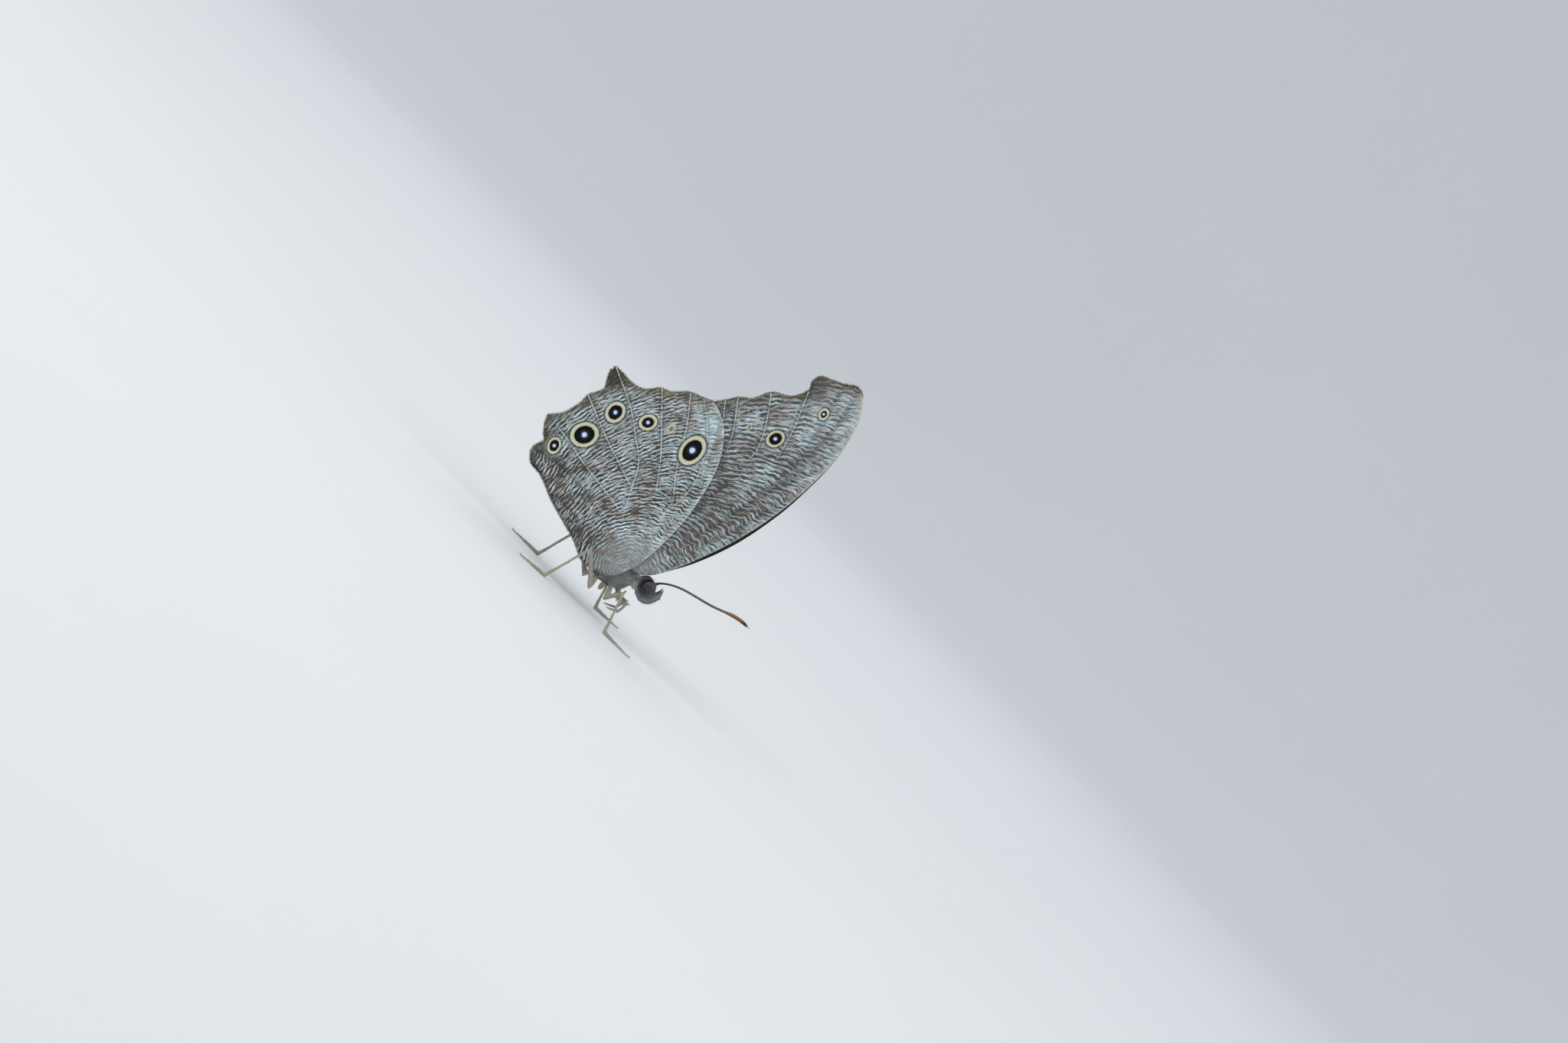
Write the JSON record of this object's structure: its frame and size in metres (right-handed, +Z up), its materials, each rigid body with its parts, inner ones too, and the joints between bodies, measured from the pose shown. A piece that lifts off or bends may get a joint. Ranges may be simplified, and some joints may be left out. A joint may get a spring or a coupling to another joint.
{
  "type": "evening brown butterfly",
  "caption": "Life-size still model of a common evening brown butterfly, standing with its wings closed over its back.",
  "frame": {"origin": "on the floor, in the middle of the part's box seen from above", "axes": "+X where the head points, +Y the animal's left, +Z up"},
  "size_m": [0.0392, 0.0176, 0.0444],
  "materials": {
    "wing": "matt scales, pale blue-grey with fine brown cross streaks and ringed eyespots",
    "body_hair": "grey-brown scales and short soft hair",
    "eye": "dark, smooth and glossy",
    "antenna": "fine rings, dark brown to orange-brown",
    "leg": "short buff-brown scales"
  },
  "bodies": {
    "root": {"head": "body_hair", "thorax": "body_hair", "abdomen": "body_hair", "eye_L": "eye", "eye_R": "eye", "palp_L": "body_hair", "palp_R": "body_hair", "antenna_L": "antenna", "antenna_R": "antenna", "forewing_L": "wing", "forewing_R": "wing", "hindwing_L": "wing", "hindwing_R": "wing", "foreleg_L": "leg", "foreleg_R": "leg", "midleg_L": "leg", "midleg_R": "leg", "hindleg_L": "leg", "hindleg_R": "leg"}
  },
  "joints": []
}
